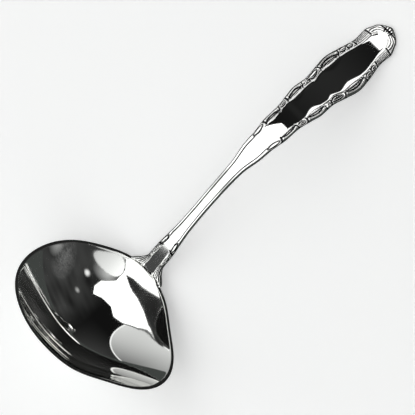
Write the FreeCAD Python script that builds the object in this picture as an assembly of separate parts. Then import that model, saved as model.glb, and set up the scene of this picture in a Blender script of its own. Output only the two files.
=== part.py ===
import FreeCAD, Part
import math
import os

# Silver sauce ladle: a pressed oval bowl with a pouring lip, and a struck handle silver-soldered to it.
# Millimetres. The pieces are drawn in the rim frame: the rim lies in the plane z = 0, +x runs from the
# bowl to the handle, and the handle lies in the plane y = 0. At the end everything is turned and
# lowered on to the table it rests on, touching with the bowl's underside and the handle's tip.

Vector = FreeCAD.Vector

# Bowl
RIM_RADII = [29.5, 29.7, 30.1, 32.5, 34.5, 34.7, 31.7, 28.8,
             27.5, 28.1, 29.4, 34.5, 38.0, 32.5, 28.7, 28.7]  # outer edge, equal angles from +x
BASE_HALF_LENGTH = 28.5      # the oval that the deepest part of the bowl follows
BASE_HALF_WIDTH = 34.0
BOWL_DEPTH = 19.0            # rim plane to the underside
BOWL_FULLNESS = 0.5          # share of a half ellipsoid that the wall's profile uses
BOWL_WALL = 1.0
GRID_STEP = 2.0              # spacing of the points that the bowl's surfaces pass through
GRID_X = 36.0
GRID_Y = 42.0

# Handle, measured along its spine from the rim
SPINE_START_X = 28.8
HANDLE_LENGTH = 146.6
SPINE_SLOPES = [61.0, 57.0, 26.0, -1.0, 34.0]     # degrees, at equal steps along the spine
HALF_WIDTHS = [(-5, 8.4), (0, 8.4), (3, 5.6), (6, 4.0), (12, 3.9), (18, 3.35), (26, 2.75), (35, 2.6),
               (50, 2.8), (57, 3.1), (66, 4.6), (71, 4.95), (79, 6.0), (84, 6.05), (91, 7.1),
               (96, 7.9), (102.5, 7.6), (110, 8.7), (117.5, 9.7), (125, 8.7), (133.5, 7.15),
               (138, 7.45), (142.5, 5.8), (145.3, 2.9), (146.6, 0.8)]
FRONT_HEIGHTS = [(-5, 0.6), (0, 0.6), (14, 1.3), (50, 1.3), (90, 0.95), (147, 0.95)]
BACK_HEIGHTS = [(-5, 1.6), (0, 1.6), (14, 1.5), (50, 1.4), (90, 0.95), (147, 0.95)]
ROOT_DISH = [(-5, 0.0228), (2, 0.0228), (14, 0.0), (147, 0.0)]   # bends the root round the bowl
BORDER_WIDTH = 1.5           # raised border along both edges of the front
BORDER_HEIGHT = 0.35
BLADE_FULLNESS = 1.5         # how early the back reaches its whole thickness as the tip widens
ROOT_OVERRUN = 4.0           # how far the stem is drawn below the rim before it is trimmed
STATION_STEP = 2.0
SPINE_STEP = 0.1             # straight steps that trace the spine's curve
TIP_ZONE = 6.0               # last stretch of the handle, where the stations are closer
TIP_STATION_STEP = 0.5
SECTION_POINTS = 16          # on each of the section's two halves

# Tongue on the bowl's back wall, and its solder
TONGUE_TOP_HALF_WIDTH = 5.6
TONGUE_END_RADIUS = 2.6
TONGUE_DROP = 8.0
TONGUE_THICKNESS = 1.0
SOLDER_WIDTH = 0.7
SOLDER_THICKNESS = 0.5

# Rest on the table
UNDERSIDE_STEP = 0.25        # spacing of the points tried for the bowl's contact with the table


def smooth_through(points, x):
    """Monotone cubic curve through (x, value) points: it never overshoots a crest or a valley."""
    gaps = [b[0] - a[0] for a, b in zip(points, points[1:])]
    slopes = [(b[1] - a[1]) / g for a, b, g in zip(points, points[1:], gaps)]
    tangents = [slopes[0]]
    for before, after, gap_before, gap_after in zip(slopes, slopes[1:], gaps, gaps[1:]):
        if before * after <= 0:
            tangents.append(0.0)
            continue
        weight_before = 2 * gap_after + gap_before
        weight_after = gap_after + 2 * gap_before
        total = weight_before + weight_after
        tangents.append(total / (weight_before / before + weight_after / after))
    tangents.append(slopes[-1])
    i = 0
    while i < len(gaps) - 1 and x > points[i + 1][0]:
        i += 1
    u = (x - points[i][0]) / gaps[i]
    start = (1 + 2 * u) * (1 - u) ** 2 * points[i][1] + u * (1 - u) ** 2 * gaps[i] * tangents[i]
    end = u * u * (3 - 2 * u) * points[i + 1][1] + u * u * (u - 1) * gaps[i] * tangents[i + 1]
    return start + end


# ---------------------------------------------------------------- bowl

def rim_radius(angle):
    """The outer edge's distance from the bowl's axis: the waves that pass through RIM_RADII."""
    count = len(RIM_RADII)
    total = 0.0
    for wave in range(count // 2 + 1):
        share = 1.0 if wave in (0, count // 2) else 2.0
        for step, radius in enumerate(RIM_RADII):
            total += share * radius * math.cos(wave * (angle - 2 * math.pi * step / count)) / count
    return total


def underside_height(x, y):
    """Height of the bowl's outer surface. Its level lines turn from an oval into the rim's outline."""
    distance = math.hypot(x, y)
    if distance < 1e-9:
        return -BOWL_DEPTH
    angle = math.atan2(y, x)
    rim = rim_radius(angle)
    base = 1 / math.hypot(math.cos(angle) / BASE_HALF_LENGTH, math.sin(angle) / BASE_HALF_WIDTH)
    blend = min(1.0, distance / rim) ** 2
    reach = distance / (base + blend * (rim - base))
    flat = math.sqrt(1 - BOWL_FULLNESS ** 2)
    if reach > 1:
        return BOWL_DEPTH * BOWL_FULLNESS ** 2 / (flat * (1 - flat)) * (reach - 1)
    return -BOWL_DEPTH * (math.sqrt(1 - (BOWL_FULLNESS * reach) ** 2) - flat) / (1 - flat)


def bowl_surface_point(x, y, inward):
    """A point of the outer surface, moved towards the inside of the bowl along the normal."""
    step = 0.01
    slope_x = (underside_height(x + step, y) - underside_height(x - step, y)) / (2 * step)
    slope_y = (underside_height(x, y + step) - underside_height(x, y - step)) / (2 * step)
    normal = Vector(-slope_x, -slope_y, 1).normalize()
    return Vector(x, y, underside_height(x, y)) + normal * inward


def below_rim():
    """The space under the rim plane, wide enough for the whole bowl."""
    return Part.makeBox(2 * GRID_X, 2 * GRID_Y, 2 * BOWL_DEPTH, Vector(-GRID_X, -GRID_Y, -2 * BOWL_DEPTH))


def solid_above(inward):
    """Everything between the rim plane and the bowl's outer surface moved inwards by a distance."""
    columns = int(round(2 * GRID_X / GRID_STEP))
    rows = int(round(2 * GRID_Y / GRID_STEP))
    points = []
    for i in range(columns + 1):
        x = -GRID_X + i * GRID_STEP
        points.append([bowl_surface_point(x, -GRID_Y + j * GRID_STEP, inward) for j in range(rows + 1)])
    surface = Part.BSplineSurface()
    surface.interpolate(points)
    column = surface.toShape().extrude(Vector(0, 0, 4 * BOWL_DEPTH))
    return column.common(below_rim())


def make_bowl():
    return solid_above(0).cut(solid_above(BOWL_WALL))


# ---------------------------------------------------------------- handle

def spine_frames(stations):
    """Position and unit tangent of the spine at each station, by small straight steps."""
    slopes = [(HANDLE_LENGTH * i / (len(SPINE_SLOPES) - 1), slope)
              for i, slope in enumerate(SPINE_SLOPES)]
    x, z, travelled = SPINE_START_X, 0.0, 0.0
    frames = []
    for station in stations:
        if station < 0:
            tangent = unit_at(slopes[0][1])
            start = Vector(SPINE_START_X, 0, 0)
            frames.append((start + tangent * station, tangent))
            continue
        while travelled < station - 1e-9:
            step = min(SPINE_STEP, station - travelled)
            tangent = unit_at(smooth_through(slopes, travelled + step / 2))
            x, z = x + step * tangent.x, z + step * tangent.z
            travelled += step
        frames.append((Vector(x, 0, z), unit_at(smooth_through(slopes, station))))
    return frames


def unit_at(degrees):
    return Vector(math.cos(math.radians(degrees)), 0, math.sin(math.radians(degrees)))


def handle_stations():
    stations = []
    station = -ROOT_OVERRUN
    while station < HANDLE_LENGTH - TIP_ZONE:
        stations.append(station)
        station += STATION_STEP
    while station < HANDLE_LENGTH - 0.5 * TIP_STATION_STEP:
        stations.append(station)
        station += TIP_STATION_STEP
    return stations + [HANDLE_LENGTH]


def section_points(station, position, tangent):
    """The closed section: a flattened oval with a raised border along the front's two edges."""
    half_width = smooth_through(HALF_WIDTHS, station)
    front = smooth_through(FRONT_HEIGHTS, station)
    back = smooth_through(BACK_HEIGHTS, station)
    dish = smooth_through(ROOT_DISH, station)
    normal = Vector(-tangent.z, 0, tangent.x)
    fineness = min(1.0, half_width / (2 * BORDER_WIDTH))
    points = []
    for i in range(2 * SECTION_POINTS):
        angle = math.pi * i / SECTION_POINTS
        y = half_width * math.cos(angle)
        fullness = math.sqrt(abs(math.sin(angle)))
        if i <= SECTION_POINTS:
            from_edge = (half_width - abs(y)) / (BORDER_WIDTH * fineness)
            ridge = BORDER_HEIGHT * fineness ** 2 * math.exp(-(2 * from_edge - 1) ** 2)
            height = (front * fineness + ridge) * fullness
        else:
            height = -back * min(1.0, fineness * BLADE_FULLNESS) * fullness
        height += dish * y * y
        points.append(position + normal * height + Vector(0, y, 0))
    points.append(points[0])
    return points


def make_stem():
    """The handle's blade, from the rim's top face to the tip."""
    stations = handle_stations()
    grid = []
    for station, (position, tangent) in zip(stations, spine_frames(stations)):
        grid.append(section_points(station, position, tangent))
    surface = Part.BSplineSurface()
    surface.interpolate(grid)
    side = surface.toShape()
    ends = [Part.Face(Part.Wire([e])) for e in side.Edges if is_end_edge(e)]
    shell = Part.makeShell([side] + ends)
    shell.sewShape()
    stem = Part.makeSolid(shell)
    if stem.Volume < 0:
        stem.reverse()
    return stem.cut(below_rim())


def is_end_edge(edge):
    """True for the closed edge of the first or the last section, false for the seam along the stem."""
    first = edge.valueAt(edge.FirstParameter)
    last = edge.valueAt(edge.LastParameter)
    return first.distanceToPoint(last) < 1e-6


def tongue_block(margin):
    """The tongue's outline, seen from behind the bowl, drawn out through the bowl's back wall."""
    top = TONGUE_TOP_HALF_WIDTH + margin
    end = TONGUE_END_RADIUS + margin
    centre_z = -TONGUE_DROP + TONGUE_END_RADIUS
    left = Vector(0, top, 0)
    left_end = Vector(0, end, centre_z)
    right_end = Vector(0, -end, centre_z)
    right = Vector(0, -top, 0)
    outline = Part.Wire([Part.makeLine(left, left_end),
                         Part.Arc(left_end, Vector(0, 0, centre_z - end), right_end).toShape(),
                         Part.makeLine(right_end, right),
                         Part.makeLine(right, left)])
    return Part.Face(outline).extrude(Vector(GRID_X, 0, 0))


def make_tongue():
    shell = solid_above(-TONGUE_THICKNESS).cut(solid_above(0))
    return shell.common(tongue_block(0))


def make_handle():
    return make_stem().fuse(make_tongue())


def make_solder_seam(handle):
    shell = solid_above(-SOLDER_THICKNESS).cut(solid_above(0))
    return shell.common(tongue_block(SOLDER_WIDTH)).cut(handle)


# ---------------------------------------------------------------- rest on the table

def lowest(points, tilt):
    """Lowest height among points once they are turned about the y axis."""
    return min(-p.x * math.sin(tilt) + p.z * math.cos(tilt) for p in points)


def rest_on_table():
    """The turn that brings the bowl's underside and the handle's back to the same height, and the
    bowl's contact point once it is turned."""
    underside = []
    for i in range(int(GRID_X / UNDERSIDE_STEP)):
        x = i * UNDERSIDE_STEP
        underside.append(Vector(x, 0, underside_height(x, 0)))
    stations = handle_stations()
    back = []
    for station, (position, tangent) in zip(stations, spine_frames(stations)):
        back += section_points(station, position, tangent)
    low, high = 0.0, math.pi / 4
    for _ in range(40):
        middle = (low + high) / 2
        if lowest(back, middle) > lowest(underside, middle):
            low = middle
        else:
            high = middle
    turn = FreeCAD.Rotation(Vector(0, 1, 0), math.degrees(low))
    contact = min((turn.multVec(p) for p in underside), key=lambda p: p.z)
    return low, contact


def on_table(shape, tilt, contact):
    """Turns a piece from the rim frame to the table, with the bowl's contact point at the origin."""
    turned = shape.copy()
    turned.rotate(Vector(0, 0, 0), Vector(0, 1, 0), math.degrees(tilt))
    turned.translate(contact * -1)
    return turned


def main():
    bowl = make_bowl()
    handle = make_handle()
    solder_seam = make_solder_seam(handle)
    tilt, contact = rest_on_table()
    pieces = {"bowl": bowl, "handle": handle, "solder_seam": solder_seam}
    os.makedirs("parts", exist_ok=True)
    for name, shape in pieces.items():
        piece = on_table(shape, tilt, contact)
        piece.exportStep("parts/" + name + ".step")
        print(name, len(piece.Solids), round(piece.Volume, 1))
    print("tilt", math.degrees(tilt), "contact", contact)


main()
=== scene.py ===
import bpy
import math
import numpy as np
from mathutils import Matrix, Vector


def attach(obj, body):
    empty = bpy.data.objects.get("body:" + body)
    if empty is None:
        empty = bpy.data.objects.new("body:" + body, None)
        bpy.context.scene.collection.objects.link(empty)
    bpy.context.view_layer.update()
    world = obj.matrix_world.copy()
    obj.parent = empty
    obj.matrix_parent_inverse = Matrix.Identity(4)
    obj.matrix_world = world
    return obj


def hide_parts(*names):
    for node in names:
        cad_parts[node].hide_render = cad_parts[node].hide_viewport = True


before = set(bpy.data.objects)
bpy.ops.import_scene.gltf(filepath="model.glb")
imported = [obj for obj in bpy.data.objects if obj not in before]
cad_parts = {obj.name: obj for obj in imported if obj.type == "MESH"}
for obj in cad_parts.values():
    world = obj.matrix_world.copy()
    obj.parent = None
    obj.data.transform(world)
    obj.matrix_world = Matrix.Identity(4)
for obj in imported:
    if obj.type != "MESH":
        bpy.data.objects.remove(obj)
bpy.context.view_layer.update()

# Silver sauce ladle. Shapes are worked out in millimetres in the rim frame (rim plane z = 0, +x from the
# bowl to the handle) and then turned on to the table, as the CAD model is. The bowl and the handle's
# spine and outline repeat the CAD model's dimensions; the thicknesses are close to it, and the relief is
# only here. A distance s runs along the handle's spine from the rim; it is negative on the tongue, which
# runs down the bowl's back wall.

# Bowl
RIM_RADII = [29.5, 29.7, 30.1, 32.5, 34.5, 34.7, 31.7, 28.8,
             27.5, 28.1, 29.4, 34.5, 38.0, 32.5, 28.7, 28.7]
BASE_HALF_LENGTH = 28.5
BASE_HALF_WIDTH = 34.0
BOWL_DEPTH = 19.0
BOWL_FULLNESS = 0.5
BOWL_WALL = 1.0
BACK_WALL_SPAN = (12.0, 33.0)    # the back wall's middle lies between these x
RIM_ROUNDING = 0.25
RIM_STEPS = 5
SPOKES = 400
WALL_RINGS = 84
SEARCH_STEPS = 40                # halvings in a search for a height

# Handle
SPINE_START_X = 28.8
SPINE_POINTS = 3000
HANDLE_LENGTH = 146.6
SPINE_SLOPES = [61.0, 57.0, 26.0, -1.0, 34.0]    # degrees, at equal steps along the spine
HALF_WIDTHS = [(-4, 4.6), (-1.5, 6.4), (0, 8.4), (3, 5.6), (6, 4.0), (12, 3.9), (18, 3.35), (26, 2.75),
               (35, 2.6), (50, 2.8), (57, 3.1), (66, 4.6), (71, 4.95), (79, 6.0), (84, 6.05), (91, 7.1),
               (96, 7.9), (102.5, 7.6), (110, 8.7), (117.5, 9.7), (125, 8.7), (133.5, 7.15), (138, 7.45),
               (142.5, 5.8)]
LEAST_HALF_WIDTH = 0.02          # keeps the last rings at the tip open
FRONT_HEIGHTS = [(0, 0.95), (50, 1.25), (90, 0.9), (147, 0.8)]
FRONT_THINS_BELOW = 2.2          # half width under which the front's height falls
BACK_HEIGHTS = [(0, 1.6), (14, 1.5), (50, 1.4), (90, 0.95), (147, 0.9)]
BACK_THINS_BELOW = 3.0
ROOT_HALF_WIDTH = 9.0
ROOT_FADE = 14.0                 # over this length the root's bend round the bowl fades out
ROOT_LEAN = 0.04                 # the root's front leans away from its middle
ROOT_BLEND = 1.5                 # within this distance of the rim the tongue turns into the stem
TONGUE_LENGTH = 9.6
TONGUE_TAIL = 4.0                # rounded end of the tongue
TONGUE_FLARE = 4.0               # below this the tongue tapers
TONGUE_TAPER = 0.35
TONGUE_SLOPE = math.radians(54)
TIP_START = 142.5                # from here the outline rounds off to the tip
TIP_CLOSE_UP = 142.0             # from here the stations crowd towards the tip
EDGE_ROUNDING = 0.85
FRONT_COLUMNS = 90
FRONT_CROWDING = 1.35            # crowds the front's columns towards its edges
BACK_COLUMNS = 22
BACK_FULLNESS = 2.4              # powers of the back's section, and of its run down to the tongue's end
TONGUE_FULLNESS = 2.5
TIP_POWERS = (1.4, 0.8)          # shape of the tip's outline
PLAIN_STEM = (20, 69)            # stations are wider apart between these
TONGUE_STEP = 0.35
ORNAMENT_STEP = 0.15
STEM_STEP = 0.4
LAST_GAP = 0.004                 # between the last ring and the very tip

# Search for the nearest point of the outline
OUTLINE_STEP = 0.1
OUTLINE_REACH = 30               # outline points looked at on either side of a place
OUTLINE_TIP = 150                # points of the tip, which every place looks at
OUTLINE_BLOCK = 20000            # places worked out at a time

# Solder bead
SOLDER_WIDTH = 1.0
SOLDER_THICKNESS = 0.7
SOLDER_TOP = 0.8                 # how far the bead's ends stay below the rim
SOLDER_ROWS = 40
SOLDER_SIDES = 12

# Struck ornament
BORDER_WIDTHS = [(0, 4.5), (1.5, 3.3), (3, 2.5), (6, 1.6), (12, 1.9), (18, 1.75), (20.5, 1.4), (26, 1.4),
                 (50, 1.4), (57, 1.5), (66, 1.7), (71, 1.9), (76, 2.0), (81, 2.7), (85.5, 2.1), (89, 2.0),
                 (95, 3.3), (99.5, 2.4), (102.6, 2.2), (106, 2.8), (110, 2.6), (117, 3.9), (123.5, 2.7),
                 (127, 2.4), (131, 2.3), (136, 2.8), (140, 3.2), (147, 3.4)]
BORDER_HEIGHT = 0.4              # the border's rounded moulding above the plain front
PANEL_START = 87.0
PANEL_FADE = 4.0
PANEL_DEPTH = 0.42               # the blade's panel is dished below the border
PANEL_CURVE = 1.3                # the dish is wider where the border is
RELIEF_FADE = 0.8                # the relief rises over this length from the rim
SHELL_CENTRE = 138.0             # the flutes of the shell at the tip fan out from here
SHELL_FLUTES = [-13, -4, 5, 14]  # degrees
REED_BOW = 2.2                   # power with which a reed swings out
REED_TAPER = 2.5                 # a reed's ends taper over this many of its radii
C_SCROLLS = [(76.3, 85.3), (89.4, 99.6), (110.0, 123.2)]
LEAVES = [(70.0, 76.3), (85.6, 89.2), (102.8, 109.8), (123.8, 127.2), (127.4, 130.6), (13.2, 18.8)]
NOTCHES = [(13.2, 0.5), (76.3, 0.9), (85.3, -0.8), (89.3, 0.7), (99.8, -0.9), (102.7, 0.7), (110.0, 1.1),
           (123.4, -1.1), (127.3, 0.5), (130.7, 0.9), (138.2, 0.6), (144.2, 0.4)]    # place, lean

# Place on the table
REST_TILT = math.radians(32.983378)
CONTACT = np.array([4.9106, 0.0, -19.9887])
TABLE_TURN = np.array([[math.cos(REST_TILT), 0, math.sin(REST_TILT)],
                       [0, 1, 0],
                       [-math.sin(REST_TILT), 0, math.cos(REST_TILT)]])
MM = 0.001

# Camera, in the rim frame
CAMERA_RIGHT = np.array([0.65101, -0.69902, 0.29588])
CAMERA_UP = np.array([0.52094, 0.69495, 0.49564])
CAMERA_BACK = np.array([-0.55209, -0.16854, 0.81657])
CAMERA_DISTANCE = 907.3
CAMERA_ASIDE = (42.195, 39.805)
VIEW_WIDTH = 159.615             # millimetres across the picture at the ladle
SENSOR = 36
LENS = SENSOR * CAMERA_DISTANCE / VIEW_WIDTH

# The lights are painted on a dome. A place on it is (a, b): degrees away from the zenith towards +X and
# +Y. An oval is its centre and its half sizes.
DOME_RADIUS = 3.0
DOME_STEP = 0.45
DOME_EDGE = 97
PANEL_EDGE = -53.7
PANEL = [(PANEL_EDGE, -60), (-34, -60), (-33, -20), (-29, -11), (-20, -11), (-11, -25), (-3, -26), (5, -21),
         (1, -10), (0, 8), (6, 20), (3, 35), (-7, 55), (-20, 70), (PANEL_EDGE, 74)]
STAND = [(-27.5, -6), (-24.5, 12), (-24, 30), (-22, 45), (-17.5, 63), (-19.5, 72), (-37, 74), (-37, 58),
         (-35, 44), (-31.5, 25), (-29.5, 5)]
LARGE_LAMP = ((17, 76), (40, 40))
SMALL_LAMP = ((-26, -28.5), (6.6, 17))
LAMP_FADE = ((-19, -25), (9, 17))
GREY_WALL = ((0, -79), (20, 6))
SPECKLES = ((10, -66), (24, 10))
SPOTS = [(-7.5, -40, 3.5, 0.9), (20, -37, 5.0, 0.4)]    # place, radius, strength
FRAME_SHIFT = (0.9, 1.2)         # the panel's dark frame shows on this side of it
FRAME_FROM = 30                  # and from this b onwards
PANEL_LIGHT = 1.7
FRAME_LIGHT = 0.05
FAR_WALL_LIGHT = 0.065
GREY_WALL_LIGHT = 0.35
SPECKLE_LIGHT = 0.25
LAMP_FADE_LIGHT = 0.55
LAMP_EDGE_LIGHT = 1.0
LAMP_LINE_LIGHT = 0.12

# White cards at the handle, in metres: strength, reach and corners. Nothing past its reach sees a card.
NEAR_REACH = 0.032
FAR_REACH = 0.06
CARDS = {"stem_card": (1.5, NEAR_REACH, [(0.040, -0.008, 0.046), (0.062, -0.008, 0.046),
                                         (0.062, 0.012, 0.046), (0.040, 0.012, 0.046)]),
         "shoulder_card": (2.0, FAR_REACH, [(0.064, -0.010, 0.040), (0.128, -0.010, 0.075),
                                            (0.128, 0.010, 0.075), (0.064, 0.010, 0.040)]),
         "tip_card": (1.5, NEAR_REACH, [(0.1445, -0.004, 0.030), (0.1475, 0.015, 0.030),
                                        (0.170, 0.015, 0.030), (0.170, -0.004, 0.030)]),
         "side_card_2": (1.2, FAR_REACH, [(0.074, 0.016, 0.036), (0.180, 0.016, 0.006),
                                          (0.180, 0.016, 0.034), (0.074, 0.016, 0.062)]),
         "side_card_0": (0.9, FAR_REACH, [(0.074, -0.016, 0.036), (0.180, -0.016, 0.006),
                                          (0.180, -0.016, 0.034), (0.074, -0.016, 0.062)])}


def smooth_through(points, x):
    """Monotone cubic curve through (x, value) points, evaluated at an array of places."""
    px, pv = np.array(points, float).T
    gap = np.diff(px)
    slope = np.diff(pv) / gap
    tangent = np.concatenate(([slope[0]], np.zeros(len(px) - 2), [slope[-1]]))
    same_way = slope[:-1] * slope[1:] > 0
    before = 2 * gap[1:] + gap[:-1]
    after = gap[1:] + 2 * gap[:-1]
    with np.errstate(divide="ignore", invalid="ignore"):
        mean = (before + after) / (before / slope[:-1] + after / slope[1:])
    tangent[1:-1] = np.where(same_way, mean, 0.0)
    x = np.clip(np.asarray(x, float), px[0], px[-1])
    i = np.clip(np.searchsorted(px, x, side="right") - 1, 0, len(gap) - 1)
    u = (x - px[i]) / gap[i]
    start = (1 + 2 * u) * (1 - u) ** 2 * pv[i] + u * (1 - u) ** 2 * gap[i] * tangent[i]
    end = u * u * (3 - 2 * u) * pv[i + 1] + u * u * (u - 1) * gap[i] * tangent[i + 1]
    return start + end


def ease(share):
    """Smooth step for a share between 0 and 1."""
    return share * share * (3 - 2 * share)


def unit(vectors):
    return vectors / np.linalg.norm(vectors, axis=-1, keepdims=True)


def to_table(points):
    """Rim frame in millimetres to the row frame in metres."""
    return (np.asarray(points) @ TABLE_TURN.T - CONTACT) * MM


def closed_tube(rings, start, end):
    """Vertices and faces of a tube through rings of points, closed by a point at either end."""
    rings = np.asarray(rings)
    rows, columns = rings.shape[:2]
    vertices = np.concatenate([start, rings.reshape(-1, 3), end])
    index = (1 + np.arange(rows * columns).reshape(rows, columns)).tolist()
    faces = []
    for k in range(columns):
        n = (k + 1) % columns
        faces.append((0, index[0][n], index[0][k]))
        faces.append((index[-1][k], index[-1][n], len(vertices) - 1))
        faces += [(low[k], low[n], high[n], high[k]) for low, high in zip(index[:-1], index[1:])]
    return vertices, faces


def ring_middle(ring):
    return ring.mean(axis=0)[None]


def mesh_object(name, vertices, faces):
    mesh = bpy.data.meshes.new(name)
    mesh.from_pydata(vertices.tolist(), [], faces)
    mesh.validate()
    mesh.shade_smooth()
    piece = bpy.data.objects.new(name, mesh)
    bpy.context.scene.collection.objects.link(piece)
    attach(piece, "root")
    return piece


# ---------------------------------------------------------------- bowl

def rim_radius(angle):
    """Closed smooth curve through the rim's radii, as a sum of waves."""
    radii = np.array(RIM_RADII)
    count = len(radii)
    steps = 2 * math.pi * np.arange(count) / count
    total = np.zeros_like(angle)
    for wave in range(count // 2 + 1):
        share = (1.0 if wave in (0, count // 2) else 2.0) / count
        total += share * (radii @ np.cos(wave * steps)) * np.cos(wave * angle)
        total += share * (radii @ np.sin(wave * steps)) * np.sin(wave * angle)
    return total


def underside_height(x, y):
    """Height of the bowl's outer surface: part of a half ellipsoid whose plan turns into the rim's."""
    distance = np.hypot(x, y)
    angle = np.arctan2(y, x)
    rim = rim_radius(angle)
    base = 1 / np.hypot(np.cos(angle) / BASE_HALF_LENGTH, np.sin(angle) / BASE_HALF_WIDTH)
    blend = np.minimum(1.0, distance / rim) ** 2
    reach = distance / (base + blend * (rim - base))
    flat = math.sqrt(1 - BOWL_FULLNESS ** 2)
    curved = -BOWL_DEPTH * (np.sqrt(1 - (BOWL_FULLNESS * np.minimum(reach, 1)) ** 2) - flat) / (1 - flat)
    return curved + BOWL_DEPTH * BOWL_FULLNESS ** 2 / (flat * (1 - flat)) * np.maximum(reach - 1, 0)


def bowl_point(x, y, inward):
    """Points of the bowl's outer surface moved inwards along the normal."""
    step = 0.01
    slope_x = (underside_height(x + step, y) - underside_height(x - step, y)) / (2 * step)
    slope_y = (underside_height(x, y + step) - underside_height(x, y - step)) / (2 * step)
    normal = unit(np.stack([-slope_x, -slope_y, np.ones_like(x)], axis=-1))
    return np.stack([x, y, underside_height(x, y)], axis=-1) + normal * np.asarray(inward)[..., None]


def share_at_height(angle, inward, height):
    """Share of the rim's radius at which a bowl surface reaches a height, for each angle."""
    low = np.full_like(angle, 0.5)
    high = np.full_like(angle, 1.0)
    rim = rim_radius(angle)
    for _ in range(SEARCH_STEPS):
        middle = (low + high) / 2
        reached = bowl_point(middle * rim * np.cos(angle), middle * rim * np.sin(angle),
                             np.full_like(angle, inward))[..., 2]
        low = np.where(reached < height, middle, low)
        high = np.where(reached < height, high, middle)
    return middle


def rounded(start, corner, end, shares):
    """Points on the curve that rounds off a corner."""
    return [(1 - u) ** 2 * start + 2 * u * (1 - u) * corner + u * u * end for u in shares]


def bowl_rings():
    """Rings of points from the underside's middle over the rim to the inside's middle."""
    angle = 2 * math.pi * np.arange(SPOKES) / SPOKES
    rim = rim_radius(angle)

    def ring(share, inward):
        return bowl_point(share * rim * np.cos(angle), share * rim * np.sin(angle),
                          np.full_like(angle, inward))

    climb = np.linspace(0, 1, WALL_RINGS + 1)[1:]
    outer_top = share_at_height(angle, 0.0, -RIM_ROUNDING)
    inner_top = share_at_height(angle, BOWL_WALL, -RIM_ROUNDING)
    outer = [ring(outer_top * c, 0.0) for c in climb]
    inner = [ring(inner_top * c, BOWL_WALL) for c in climb[::-1]]
    outer_corner = ring(share_at_height(angle, 0.0, 0.0), 0.0)
    inner_corner = ring(share_at_height(angle, BOWL_WALL, 0.0), BOWL_WALL)
    across = unit(inner_corner - outer_corner)
    outer_flat = outer_corner + across * RIM_ROUNDING
    inner_flat = inner_corner - across * RIM_ROUNDING
    shares = np.linspace(0, 1, RIM_STEPS + 1)
    flat = [outer_flat + (inner_flat - outer_flat) * u for u in (1 / 3, 2 / 3)]
    return (outer + rounded(outer[-1], outer_corner, outer_flat, shares[1:]) + flat
            + rounded(inner_flat, inner_corner, inner[0], shares[:-1]) + inner)


def make_bowl():
    centre = np.zeros(1)
    bottom = bowl_point(centre, centre, centre)
    top = bowl_point(centre, centre, centre + BOWL_WALL)
    vertices, faces = closed_tube(bowl_rings(), bottom, top)
    piece = mesh_object("ladle_bowl", to_table(vertices), faces)
    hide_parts("bowl")
    return piece


# ---------------------------------------------------------------- handle

def half_width(s):
    """Half width of the handle at distances along its spine."""
    body = smooth_through(HALF_WIDTHS, s)
    tip = np.clip((s - TIP_START) / (HANDLE_LENGTH - TIP_START), 0, 1)
    tail = np.clip((-s - (TONGUE_LENGTH - TONGUE_TAIL)) / TONGUE_TAIL, 0, 1)
    narrowing = 1 - TONGUE_TAPER * np.clip((-s - TONGUE_FLARE) / (TONGUE_LENGTH - TONGUE_FLARE), 0, 1)
    rounding = (1 - tip ** TIP_POWERS[0]) ** TIP_POWERS[1]
    return body * rounding * narrowing * np.sqrt(1 - tail ** 2)


def spine(s):
    """Positions (x, z) and slope angles of the spine for distances of zero and more."""
    fine = np.linspace(0, HANDLE_LENGTH, SPINE_POINTS)
    knots = [(HANDLE_LENGTH * i / (len(SPINE_SLOPES) - 1), v) for i, v in enumerate(SPINE_SLOPES)]
    slope = np.radians(smooth_through(knots, fine))
    middle = (slope[1:] + slope[:-1]) / 2
    step = fine[1] - fine[0]
    x = SPINE_START_X + np.concatenate(([0], np.cumsum(np.cos(middle) * step)))
    z = np.concatenate(([0], np.cumsum(np.sin(middle) * step)))
    s = np.clip(s, 0, HANDLE_LENGTH)
    return np.interp(s, fine, x), np.interp(s, fine, z), np.interp(s, fine, slope)


def wall_middle(y, height):
    """Points of the middle of the bowl's back wall at given y and heights, and the wall's normals."""
    low = np.full_like(y, BACK_WALL_SPAN[0])
    high = np.full_like(y, BACK_WALL_SPAN[1])
    for _ in range(SEARCH_STEPS):
        middle = (low + high) / 2
        reached = bowl_point(middle, y, np.full_like(y, BOWL_WALL / 2))
        low = np.where(reached[..., 2] < height, middle, low)
        high = np.where(reached[..., 2] < height, high, middle)
    inner = bowl_point(middle, y, np.full_like(y, BOWL_WALL))
    point = np.stack([reached[..., 0], y, reached[..., 2]], axis=-1)
    return point, unit(inner - reached)


def handle_base(s, y):
    """The handle's middle surface and its normal, at distances s and places y across."""
    x, z, slope = spine(s)
    across = np.linspace(0, ROOT_HALF_WIDTH, 40)
    rim = wall_middle(across, np.zeros_like(across))[0]
    bend = np.interp(np.abs(y), across, rim[:, 0] - rim[0, 0])
    fade = np.clip(1 - s / ROOT_FADE, 0, 1) ** 2
    point = np.stack([x + bend * fade, y, z], axis=-1)
    normal = np.stack([-np.sin(slope), -ROOT_LEAN * y * fade, np.cos(slope)], axis=-1)
    low = s[:, 0] < ROOT_BLEND
    wall, wall_normal = wall_middle(y[low], np.minimum(s[low], 0) * math.sin(TONGUE_SLOPE))
    point[low] = np.where((s[low] < 0)[..., None], wall, point[low])
    share = ease(np.clip((s[low] + ROOT_BLEND) / (2 * ROOT_BLEND), 0, 1)[..., None])
    normal[low] = wall_normal * (1 - share) + normal[low] * share
    return point, unit(normal)


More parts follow.
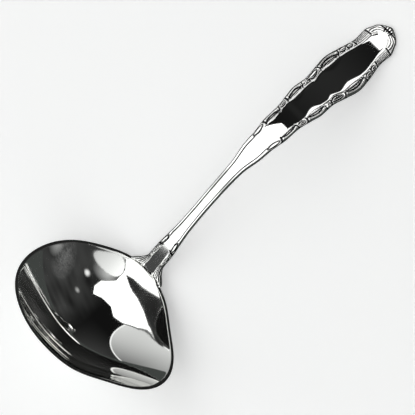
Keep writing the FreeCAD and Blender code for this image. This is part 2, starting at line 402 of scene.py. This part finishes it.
def handle_stations():
    """Places along the handle: close where there is ornament, wider on the plain stem."""
    tongue = np.arange(-TONGUE_LENGTH, -0.2, TONGUE_STEP)
    root = np.arange(0, PLAIN_STEM[0], ORNAMENT_STEP)
    stem = np.arange(*PLAIN_STEM, STEM_STEP)
    blade = np.arange(PLAIN_STEM[1], TIP_CLOSE_UP, ORNAMENT_STEP)
    turn = np.linspace(0, math.pi / 2, 60)[:-1]
    tip = TIP_CLOSE_UP + (HANDLE_LENGTH - TIP_CLOSE_UP) * np.sin(turn)
    return np.concatenate([tongue, root, stem, blade, tip, [HANDLE_LENGTH - LAST_GAP]])


def over_width(stations, width, across):
    """Grids of distances and of places across, from shares of the half width."""
    return np.repeat(stations[:, None], len(across), axis=1), width[:, None] * across


def handle_front(stations, width):
    """Points of the front with its relief, and how deep the grooves are at them."""
    half = FRONT_COLUMNS // 2
    inwards = (np.arange(half + 1) / half) ** FRONT_CROWDING
    s, y = over_width(stations, width, np.concatenate([1 - inwards, -(1 - inwards[::-1][1:])]))
    point, normal = handle_base(s, y)
    edge = distance_to_outline(s, np.abs(y))
    rounding = np.sqrt(1 - (1 - np.clip(edge / EDGE_ROUNDING, 0, 1)) ** 2)
    height = smooth_through(FRONT_HEIGHTS, np.maximum(s, 0))
    height *= np.clip(width / FRONT_THINS_BELOW, 0, 1)[:, None]
    # on the tongue the front sinks into the wall
    height *= np.clip(1 + s, 0, 1)
    relief, groove = ornament(s, y, edge)
    relief *= np.clip(s / RELIEF_FADE, 0, 1)
    return point + normal * ((height + relief) * rounding)[..., None], groove


def handle_back(stations, width):
    """Points of the rounded back."""
    turn = math.pi * (np.arange(BACK_COLUMNS) + 1) / (BACK_COLUMNS + 1)
    across = -np.cos(turn)
    s, y = over_width(stations, width, across)
    point, normal = handle_base(s, y)
    height = smooth_through(BACK_HEIGHTS, np.maximum(s, 0))
    height *= np.clip(width / BACK_THINS_BELOW, 0, 1)[:, None]
    tail = np.clip(-s / TONGUE_LENGTH, 0, 1)
    height *= np.sqrt(1 - tail ** TONGUE_FULLNESS)
    dome = np.sqrt(1 - np.abs(across) ** BACK_FULLNESS)
    return point - normal * (height * dome)[..., None]


def make_handle():
    stations = handle_stations()
    width = np.maximum(half_width(stations), LEAST_HALF_WIDTH)
    front, groove = handle_front(stations, width)
    loop = np.concatenate([front, handle_back(stations, width)], axis=1)
    vertices, faces = closed_tube(loop, ring_middle(loop[0]), ring_middle(loop[-1]))
    piece = mesh_object("ladle_handle", to_table(vertices), faces)
    # depth of the struck grooves, which the handle's material turns into painted shade
    depth = np.zeros(loop.shape[:2])
    depth[:, :groove.shape[1]] = groove
    layer = piece.data.attributes.new("groove", "FLOAT", "POINT")
    layer.data.foreach_set("value", np.concatenate([[0], depth.reshape(-1), [0]]))
    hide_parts("handle")
    return piece


def make_solder():
    """The bead of solder round the tongue, on the bowl's back wall."""
    side = 2 * np.linspace(0, 1, 2 * SOLDER_ROWS + 1) - 1
    s = -TONGUE_LENGTH - SOLDER_WIDTH / 2 + (TONGUE_LENGTH - SOLDER_TOP) * np.abs(side) ** 2
    beside = half_width(np.maximum(s, -TONGUE_LENGTH + 0.01))
    centre, normal = wall_middle(np.sign(side) * (beside + SOLDER_WIDTH / 4), s * math.sin(TONGUE_SLOPE))
    centre -= normal * BOWL_WALL / 2
    sideways = np.cross(unit(np.gradient(centre, axis=0)), normal)
    taper = np.sqrt(1 - np.abs(side) ** 8)[:, None, None] + 0.05
    turn = 2 * math.pi * np.arange(SOLDER_SIDES)[None, :, None] / SOLDER_SIDES
    ring = (np.cos(turn) * sideways[:, None] * SOLDER_WIDTH / 2
            + np.sin(turn) * normal[:, None] * SOLDER_THICKNESS / 2) * taper
    rings = centre[:, None] + ring
    vertices, faces = closed_tube(rings, ring_middle(rings[0]), ring_middle(rings[-1]))
    piece = mesh_object("ladle_solder", to_table(vertices), faces)
    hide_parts("solder_seam")
    return piece


def outline_points():
    """One half of the handle's outline in its own plane: (distance along, distance from the middle)."""
    tip = TIP_CLOSE_UP + (HANDLE_LENGTH - TIP_CLOSE_UP) * np.sin(np.linspace(0, math.pi / 2, 120))
    s = np.concatenate([np.arange(-3, TIP_CLOSE_UP, OUTLINE_STEP), tip])
    return np.stack([s, half_width(s)], axis=-1)


def distance_to_outline(s, y):
    """Shortest distance from places on the handle to its outline."""
    outline = outline_points()
    tip = outline[-OUTLINE_TIP:]
    flat_s, flat_y = s.ravel(), y.ravel()
    nearest = np.searchsorted(outline[:, 0], flat_s)
    last_start = len(outline) - 2 * OUTLINE_REACH - OUTLINE_TIP
    start = np.clip(nearest - OUTLINE_REACH, 0, last_start)
    result = np.empty(flat_s.shape)
    for first in range(0, len(flat_s), OUTLINE_BLOCK):
        block = slice(first, first + OUTLINE_BLOCK)
        place_s, place_y = flat_s[block, None], flat_y[block, None]
        beside = outline[start[block, None] + np.arange(2 * OUTLINE_REACH)]
        to_beside = np.hypot(beside[..., 0] - place_s, beside[..., 1] - place_y).min(axis=1)
        to_tip = np.hypot(tip[:, 0] - place_s, tip[:, 1] - place_y).min(axis=1)
        result[block] = np.minimum(to_beside, to_tip)
    result[flat_y >= half_width(flat_s) - 1e-6] = 0
    return result.reshape(s.shape)


# ---------------------------------------------------------------- struck ornament

# Strokes are drawn along the border: s is the distance along the handle, and a depth is measured from the
# outline, as a share of the border's width there. A stroke is its first and last s and a function for its
# height. Negative heights are grooves.

def half_round(distance, radius, top):
    """Section of a wire, or of a groove when its height is negative."""
    return top * np.sqrt(np.clip(1 - (distance / radius) ** 2, 0, 1))


def reed(start, end, middle, ends, radius, top):
    """A line along the border that swings out towards the edge between its two ends."""
    def height(s, share, border):
        u = (s - start) / (end - start)
        bow = np.abs(2 * u - 1) ** REED_BOW
        taper = np.clip(np.minimum(s - start, end - s) / (REED_TAPER * radius), 0, 1)
        full = np.sqrt(np.clip(taper * (2 - taper), 0, 1))
        distance = (share - middle - (ends - middle) * bow) * border
        return half_round(distance, radius * np.maximum(full, 0.05), top * full)
    return start, end, height


def stroke(start, end, start_share, end_share, radius, top):
    """A short straight line across the border."""
    def height(s, share, border):
        x, y = s - start, (share - start_share) * border
        run, rise = end - start, (end_share - start_share) * border
        along = np.clip((x * run + y * rise) / (run * run + rise * rise), 0, 1)
        return half_round(np.hypot(x - along * run, y - along * rise), radius, top)
    return min(start, end) - radius, max(start, end) + radius, height


def curl(s_centre, share_centre, radius, wire, top):
    """A small volute: a spiral wire with two turns."""
    def height(s, share, border):
        x, y = s - s_centre, (share - share_centre) * border
        turn = np.arctan2(y, x) / (2 * math.pi) + 0.5
        distance = np.hypot(x, y)
        outer = np.abs(distance - radius * (1 - turn / 2))
        inner = np.abs(distance - radius * (1 - (1 + turn) / 2))
        return half_round(np.minimum(outer, inner), wire, top)
    return s_centre - radius - wire, s_centre + radius + wire, height


def c_scroll(start, end):
    """A raised reed, two grooves nested in it, and a volute at each end."""
    strokes = [reed(start, end, 0.2, 0.62, 0.5, 0.22)]
    for k in range(2):
        inset = (0.05 + 0.08 * k) * (end - start)
        strokes.append(reed(start + inset, end - inset, 0.42 + 0.26 * k, 0.9, 0.34 - 0.08 * k, -0.42))
    strokes.append(curl(start + 0.9, 0.62, 0.85, 0.24, 0.3))
    strokes.append(curl(end - 0.9, 0.62, 0.95, 0.26, 0.34))
    return strokes


def leaf(start, end):
    """A lens-shaped leaf between two grooves that meet at its ends."""
    return [reed(start, end, 0.2, 0.5, 0.24, -0.3),
            reed(start, end, 0.88, 0.5, 0.32, -0.4)]


def notch(s, lean):
    """The deep cut between two scrolls, over the whole border."""
    return stroke(s, s + lean, 0.02, 0.95, 0.38, -0.55)


def root_strokes():
    """The shoulder scroll that ends on the rim, and the hatched scroll above it."""
    strokes = []
    for k in range(4):
        share = 0.2 + 0.24 * k
        strokes.append(reed(0.6 + 0.3 * k, 8.0 - 0.6 * k, share, share, 0.2, -0.3))
    strokes += [reed(7.4, 13.4, 0.2, 0.75, 0.24, -0.3), reed(8.4, 12.6, 0.52, 0.8, 0.2, -0.26)]
    strokes += [curl(s, share, 0.6, 0.18, 0.3) for s, share in ((12.6, 0.5), (7.6, 0.55))]
    return strokes


def stem_strokes():
    """The thread along the stem, and the soft reed outside it."""
    return [reed(18.5, 71.0, 0.85, 0.85, 0.26, -0.34), reed(18.5, 71.0, 0.3, 0.3, 0.3, 0.12)]


def tip_strokes():
    """The hatching that leads to the tip's two large lobes, and the lobes."""
    strokes = [reed(130.9, 138.4, 0.14 + 0.2 * k, 0.22 + 0.18 * k, 0.2, -0.26) for k in range(4)]
    strokes += [reed(138.8, 144.2, 0.3, 0.6, 0.24, -0.34), reed(139.3, 143.4, 0.62, 0.8, 0.22, -0.3)]
    return strokes


def border_strokes():
    strokes = root_strokes() + stem_strokes() + tip_strokes()
    for start, end in C_SCROLLS:
        strokes += c_scroll(start, end)
    for start, end in LEAVES:
        strokes += leaf(start, end)
    strokes += [notch(s, lean) for s, lean in NOTCHES]
    strokes.append(curl(101.2, 0.5, 1.0, 0.26, 0.34))
    return strokes


def shell(s, y, share):
    """Flutes that fan out over the border at the very tip."""
    angle = np.degrees(np.arctan2(y, s - SHELL_CENTRE))
    away = np.hypot(y, s - SHELL_CENTRE)
    ends = np.clip(4 * np.minimum(share - 0.05, 0.95 - share), 0, 1)
    total = np.zeros(s.shape)
    for flute in SHELL_FLUTES:
        total = np.minimum(total, half_round(np.radians(angle - flute) * away, 0.3, -0.4) * ends)
    return total


def ornament(s, y, edge):
    """Height of the struck relief above the plain front, and how deep its grooves are."""
    border = smooth_through(BORDER_WIDTHS, s)
    share = edge / border
    moulding = BORDER_HEIGHT * np.sqrt(np.clip(1 - (2 * share - 1) ** 2, 0, 1))
    inward = np.clip((edge - border) / (0.5 + PANEL_CURVE * np.clip(border - 2, 0, 2)), 0, 1)
    blade = ease(np.clip((s - PANEL_START) / PANEL_FADE, 0, 1))
    relief = moulding - blade * PANEL_DEPTH * (1 - (1 - inward) ** 2)
    groove = np.zeros(s.shape)
    for start, end, height in border_strokes():
        rows = slice(*np.searchsorted(s[:, 0], (start, end)))
        line = height(s[rows], share[rows], border[rows])
        relief[rows] += line
        groove[rows] = np.minimum(groove[rows], line)
    flutes = shell(s, y, share)
    return relief + flutes, -np.minimum(groove, flutes)


# ---------------------------------------------------------------- camera

def make_camera():
    place = (CAMERA_RIGHT * CAMERA_ASIDE[0] + CAMERA_UP * CAMERA_ASIDE[1] + CAMERA_BACK * CAMERA_DISTANCE)
    axes = TABLE_TURN @ np.stack([CAMERA_RIGHT, CAMERA_UP, CAMERA_BACK], axis=1)
    data = bpy.data.cameras.new("camera")
    data.lens = LENS
    data.sensor_width = SENSOR
    camera = bpy.data.objects.new("camera", data)
    camera.matrix_world = Matrix.Translation(Vector(to_table(place))) @ Matrix(axes.tolist()).to_4x4()
    bpy.context.scene.collection.objects.link(camera)
    bpy.context.scene.camera = camera


# ---------------------------------------------------------------- stage

def sky(a, b, distance):
    """The point of the dome at a place (a, b)."""
    away = np.hypot(a, b) + 1e-9
    flat = np.sin(np.radians(away)) / away
    return np.stack([a * flat, b * flat, np.cos(np.radians(away))], axis=-1) * distance


def inside(outline, a, b):
    """Which places lie inside an outline."""
    result = np.zeros(a.shape, bool)
    corners = np.array(outline, float)
    for start, end in zip(corners, np.roll(corners, -1, axis=0)):
        crosses = (start[1] > b) != (end[1] > b)
        rise = end[1] - start[1] if end[1] != start[1] else 1e-9
        result ^= crosses & (a < start[0] + (b - start[1]) * (end[0] - start[0]) / rise)
    return result


def oval(a, b, centre, half):
    """Distance from an oval's centre, as a share of its radius."""
    return np.hypot((a - centre[0]) / half[0], (b - centre[1]) / half[1])


def clouds(a, b):
    """Slow unevenness between -1 and 1, the same each time."""
    random = np.random.default_rng(4)
    total = np.zeros(a.shape)
    for _ in range(24):
        turn, phase = random.uniform(0, 2 * math.pi, 2)
        length = random.uniform(7, 45)
        total += np.sin((a * math.cos(turn) + b * math.sin(turn)) * 2 * math.pi / length + phase)
    return total / 8


def room_light(a, b, rough):
    """The dim room: a faint glow at two sides, a grey wall, specks and two small spots."""
    light = 0.006 + 0.030 * np.clip((-b - 2) / 35, 0, 1) * (1 + 0.5 * rough)
    light += 0.05 * np.clip((a - 30) / 60, 0, 1) * np.clip((b + 10) / 60, 0, 1)
    light += GREY_WALL_LIGHT * np.clip(1.2 - oval(a, b, *GREY_WALL), 0, 1)
    speckled = np.clip(1.3 - oval(a, b, *SPECKLES), 0, 1)
    light += speckled * SPECKLE_LIGHT * np.random.default_rng(9).random(a.shape) ** 2
    for spot_a, spot_b, radius, strength in SPOTS:
        share = np.hypot(a - spot_a, b - spot_b) / radius + 0.25 * rough
        light += strength * np.clip(1.4 - 1.4 * share, 0, 1)
    return light


def dome_light(a, b):
    """Strength of the light that comes from each place of the dome."""
    rough = clouds(a, b)
    light = room_light(a, b, rough)
    light = np.maximum(light, LAMP_FADE_LIGHT * np.clip(1 - oval(a, b, *LAMP_FADE), 0, 1))
    # large lamp with a bright edge
    lamp = oval(a, b, *LARGE_LAMP)
    body = 0.50 + 0.0065 * (20 - a) + 0.20 * np.clip((60 - b) / 30, -0.6, 1)
    light = np.where(lamp < 1, np.where(lamp > 0.95, LAMP_EDGE_LIGHT, body), light)
    # dim wall past the panel, the panel's dark frame, the panel, and the dark stand in front of it
    light = np.where((a < PANEL_EDGE) & (np.abs(b) < 45), FAR_WALL_LIGHT, light)
    dark_frame = [(corner_a + FRAME_SHIFT[0], corner_b + FRAME_SHIFT[1]) for corner_a, corner_b in PANEL]
    light = np.where(inside(dark_frame, a, b) & (b > FRAME_FROM), FRAME_LIGHT, light)
    light = np.where(inside(PANEL, a, b), PANEL_LIGHT, light)
    light = np.where(inside(STAND, a, b), 0.015 + 0.012 * (1 + rough), light)
    # small round lamp with a dark line round one side
    lamp = oval(a, b, *SMALL_LAMP)
    light = np.where(lamp < 1, 0.62 + 0.018 * (b + 45), light)
    return np.where((lamp >= 1) & (lamp < 1.07) & (a < -24), LAMP_LINE_LIGHT, light)


def new_material(name):
    """A material with only an output node."""
    material = bpy.data.materials.new(name)
    material.use_nodes = True
    nodes = material.node_tree.nodes
    nodes.clear()
    nodes.new("ShaderNodeOutputMaterial")
    return material, nodes, material.node_tree.links


def on_stage(mesh, material, hidden):
    """Adds a mesh to the stage; a hidden one shows only in reflections and as light."""
    mesh.materials.append(material)
    piece = bpy.data.objects.new(mesh.name, mesh)
    bpy.context.scene.collection.objects.link(piece)
    piece.visible_camera = not hidden
    piece.visible_shadow = not hidden
    return piece


def quad(name, corners):
    mesh = bpy.data.meshes.new(name)
    mesh.from_pydata(corners, [], [(0, 1, 2, 3)])
    return mesh


def make_dome():
    ticks = np.arange(-100, 100.1, DOME_STEP)
    # two close rows of points keep the panel's edge over the handle crisp
    ticks_a = np.sort(np.append(ticks, (PANEL_EDGE - 0.03, PANEL_EDGE + 0.03)))
    a, b = np.meshgrid(ticks_a, ticks, indexing="ij")
    index = np.arange(a.size).reshape(a.shape)
    faces = np.stack([index[:-1, :-1], index[1:, :-1], index[1:, 1:], index[:-1, 1:]], axis=-1)
    faces = faces.reshape(-1, 4)
    away = np.hypot(a, b).reshape(-1)
    faces = faces[(away[faces] < DOME_EDGE).all(axis=1)]
    used, renumbered = np.unique(faces, return_inverse=True)
    points = sky(a, b, DOME_RADIUS).reshape(-1, 3)[used]
    mesh = bpy.data.meshes.new("dome")
    mesh.from_pydata(points.tolist(), [], renumbered.reshape(-1, 4).tolist())
    layer = mesh.attributes.new("light", "FLOAT", "POINT")
    layer.data.foreach_set("value", dome_light(a, b).reshape(-1)[used])
    material, nodes, links = new_material("dome_light")
    strength = nodes.new("ShaderNodeAttribute")
    strength.attribute_name = "light"
    glow = nodes.new("ShaderNodeEmission")
    glow.inputs["Color"].default_value = (0.985, 1.0, 0.99, 1)
    links.new(strength.outputs["Fac"], glow.inputs["Strength"])
    links.new(glow.outputs[0], nodes["Material Output"].inputs["Surface"])
    on_stage(mesh, material, hidden=True)


def floor_in_silver(nodes, links):
    """What polished silver sees of the floor: dark green-grey, with one pale patch before the bowl."""
    dark = nodes.new("ShaderNodeEmission")
    dark.inputs["Color"].default_value = (0.053, 0.058, 0.055, 1)
    place = nodes.new("ShaderNodeTexCoord")
    away = nodes.new("ShaderNodeVectorMath")
    away.operation = "DISTANCE"
    away.inputs[1].default_value = (-0.13, 0.0, 0.0)
    links.new(place.outputs["Object"], away.inputs[0])
    bright = nodes.new("ShaderNodeMapRange")
    bright.interpolation_type = "SMOOTHSTEP"
    bright.inputs["From Min"].default_value = 0.08
    bright.inputs["From Max"].default_value = 0.16
    bright.inputs["To Min"].default_value = 9.0
    bright.inputs["To Max"].default_value = 1.0
    links.new(away.outputs["Value"], bright.inputs["Value"])
    links.new(bright.outputs["Result"], dark.inputs["Strength"])
    return dark


def make_floor():
    """Pale to the eye and to soft light; polished silver sees another floor in its place."""
    material, nodes, links = new_material("floor")
    pale = nodes.new("ShaderNodeBsdfPrincipled")
    pale.inputs["Base Color"].default_value = (0.86, 0.86, 0.86, 1)
    pale.inputs["Roughness"].default_value = 0.9
    pale.inputs["Emission Color"].default_value = (1, 1, 1, 1)
    pale.inputs["Emission Strength"].default_value = 0.42
    path = nodes.new("ShaderNodeLightPath")
    mix = nodes.new("ShaderNodeMixShader")
    links.new(path.outputs["Is Glossy Ray"], mix.inputs[0])
    links.new(pale.outputs[0], mix.inputs[1])
    links.new(floor_in_silver(nodes, links).outputs[0], mix.inputs[2])
    links.new(mix.outputs[0], nodes["Material Output"].inputs["Surface"])
    on_stage(quad("floor", [(-6, -6, 0), (6, -6, 0), (6, 6, 0), (-6, 6, 0)]), material, hidden=False)


def make_cards():
    """White cards over the handle's stem, shoulder and tip, and along both sides of its blade."""
    for name, (strength, reach, corners) in CARDS.items():
        material, nodes, links = new_material(name)
        glow = nodes.new("ShaderNodeEmission")
        glow.inputs["Strength"].default_value = strength
        clear = nodes.new("ShaderNodeBsdfTransparent")
        path = nodes.new("ShaderNodeLightPath")
        near = nodes.new("ShaderNodeMath")
        near.operation = "LESS_THAN"
        near.inputs[1].default_value = reach
        mix = nodes.new("ShaderNodeMixShader")
        links.new(path.outputs["Ray Length"], near.inputs[0])
        links.new(near.outputs[0], mix.inputs[0])
        links.new(clear.outputs[0], mix.inputs[1])
        links.new(glow.outputs[0], mix.inputs[2])
        links.new(mix.outputs[0], nodes["Material Output"].inputs["Surface"])
        card = on_stage(quad(name, corners), material, hidden=True)
        card.visible_diffuse = False


def make_world():
    """Dark all round for the silver, pale behind the floor for the eye."""
    world = bpy.data.worlds.new("studio")
    bpy.context.scene.world = world
    world.use_nodes = True
    nodes, links = world.node_tree.nodes, world.node_tree.links
    nodes.clear()
    path = nodes.new("ShaderNodeLightPath")
    dark = nodes.new("ShaderNodeBackground")
    dark.inputs["Color"].default_value = (0.016, 0.019, 0.018, 1)
    pale = nodes.new("ShaderNodeBackground")
    pale.inputs["Color"].default_value = (1, 1, 1, 1)
    mix = nodes.new("ShaderNodeMixShader")
    output = nodes.new("ShaderNodeOutputWorld")
    links.new(path.outputs["Is Camera Ray"], mix.inputs[0])
    links.new(dark.outputs[0], mix.inputs[1])
    links.new(pale.outputs[0], mix.inputs[2])
    links.new(mix.outputs[0], output.inputs["Surface"])


# ---------------------------------------------------------------- finish

SILVER = (0.94, 0.94, 0.925, 1)
# painted shade: the near black that the handle's struck grooves are coloured
GROOVE_SHADE = (0.03, 0.03, 0.032, 1)


def noise(nodes, links, place, scale, detail):
    """A noise texture over the piece's own coordinates."""
    texture = nodes.new("ShaderNodeTexNoise")
    texture.inputs["Scale"].default_value = scale
    texture.inputs["Detail"].default_value = detail
    links.new(place.outputs["Object"], texture.inputs["Vector"])
    return texture


def polished(name, roughness, grooves=False):
    """Polished silver with faint wear; when grooves is set, the struck grooves are coloured near black as
    painted shade.
    """
    material, nodes, links = new_material(name)
    shader = nodes.new("ShaderNodeBsdfPrincipled")
    shader.inputs["Metallic"].default_value = 1
    shader.inputs["Base Color"].default_value = SILVER
    links.new(shader.outputs[0], nodes["Material Output"].inputs["Surface"])
    place = nodes.new("ShaderNodeTexCoord")
    smudges = noise(nodes, links, place, scale=60, detail=6)
    wear = nodes.new("ShaderNodeMapRange")
    wear.inputs["From Min"].default_value = 0.35
    wear.inputs["From Max"].default_value = 0.8
    wear.inputs["To Min"].default_value = roughness
    wear.inputs["To Max"].default_value = roughness + 0.05
    links.new(smudges.outputs["Fac"], wear.inputs["Value"])
    links.new(wear.outputs["Result"], shader.inputs["Roughness"])
    scratches = noise(nodes, links, place, scale=900, detail=3)
    bump = nodes.new("ShaderNodeBump")
    bump.inputs["Strength"].default_value = 0.05
    bump.inputs["Distance"].default_value = 0.00002
    links.new(scratches.outputs["Fac"], bump.inputs["Height"])
    links.new(bump.outputs["Normal"], shader.inputs["Normal"])
    # painted shade: the depth of the struck grooves darkens the base colour to near black
    if grooves:
        groove = nodes.new("ShaderNodeAttribute")
        groove.attribute_name = "groove"
        groove_shade_ramp = nodes.new("ShaderNodeValToRGB")
        unshaded_stop, dark = groove_shade_ramp.color_ramp.elements
        unshaded_stop.position, unshaded_stop.color = 0.05, SILVER
        dark.position, dark.color = 0.28, GROOVE_SHADE
        links.new(groove.outputs["Fac"], groove_shade_ramp.inputs["Fac"])
        links.new(groove_shade_ramp.outputs["Color"], shader.inputs["Base Color"])
    return material


make_camera()
make_dome()
make_cards()
make_floor()
make_world()
bowl = make_bowl()
bowl.data.materials.append(polished("bowl_silver", 0.03))
handle = make_handle()
handle.data.materials.append(polished("handle_silver", 0.02, grooves=True))
solder = make_solder()
solder.data.materials.append(polished("silver_solder", 0.12))
bpy.context.scene.view_settings.view_transform = "Standard"
